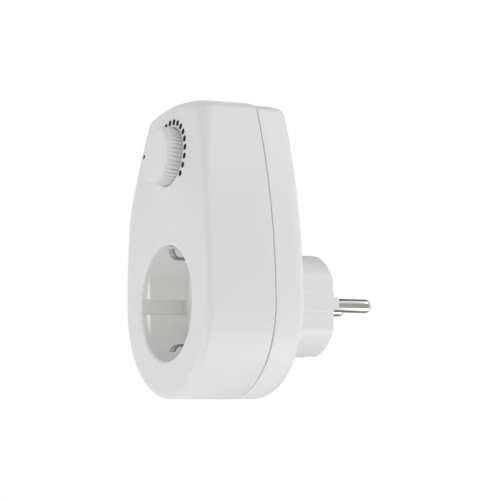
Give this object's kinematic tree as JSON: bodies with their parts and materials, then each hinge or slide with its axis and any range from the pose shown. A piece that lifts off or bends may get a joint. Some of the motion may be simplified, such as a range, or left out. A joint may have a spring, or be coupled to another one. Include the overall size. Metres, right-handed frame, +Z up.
{
  "type": "plug-in dimmer",
  "caption": "White plug-in rotary dimmer: rounded two-shell housing with an earthed round socket in front, a plug with two round pins behind and a fluted knob above.",
  "frame": {"origin": "centre of the plug's face, midway between the two pins", "axes": "+Y along the pins into the wall socket, +Z up towards the knob, +X to the right as seen from the front"},
  "size_m": [0.066, 0.0816, 0.1039],
  "materials": {
    "shell": "satin white moulded plastic",
    "knob": "satin white moulded plastic",
    "socket": "satin white moulded plastic",
    "mark": "black inlay",
    "pin_metal": "nickel-plated brass",
    "spring_metal": "tinned spring strip",
    "brass": "bare brass strip",
    "screw_metal": "zinc-plated steel",
    "board": "green laminate",
    "dark_case": "black moulded case",
    "pot_case": "moulded case",
    "aluminium": "bent sheet",
    "ferrite": "ferrite drum core",
    "copper": "enamelled copper winding",
    "film_case": "moulded box",
    "small_case": "dipped case",
    "fuse_glass": "glass tube with metal caps",
    "resistor": "lacquered film resistors"
  },
  "bodies": {
    "housing": {"front_shell": "shell", "rear_cover": "shell", "socket_insert": "socket", "plug_body": "shell", "plug_pin_live": "pin_metal", "plug_pin_neutral": "pin_metal", "earth_clip": "spring_metal", "plug_earth_strap": "spring_metal", "earth_rivet": "screw_metal", "contact_load": "brass", "contact_neutral": "brass", "pot_case": "pot_case", "pot_terminals": "screw_metal", "circuit_board": "board", "board_screws": "screw_metal", "triac": "dark_case", "heat_sink": "aluminium", "heat_sink_screw": "screw_metal", "choke_core": "ferrite", "choke_winding": "copper", "film_capacitor": "film_case", "timing_capacitor": "small_case", "fuse": "fuse_glass", "fuse_clips": "brass", "resistors": "resistor", "live_bar": "brass", "load_bar": "brass", "neutral_bar": "brass", "insert_screws": "screw_metal", "housing_screws": "screw_metal"},
    "knob": {"dimmer_knob": "knob", "knob_pointer": "mark", "pot_shaft": "screw_metal"}
  },
  "joints": [
    {"name": "knob_turn", "type": "hinge", "parent": "housing", "child": "knob", "pos_m": [0, -0.05609, 0.0509], "axis": [0, -0.9947, 0.1028], "range_deg": [-212, 36]}
  ]
}
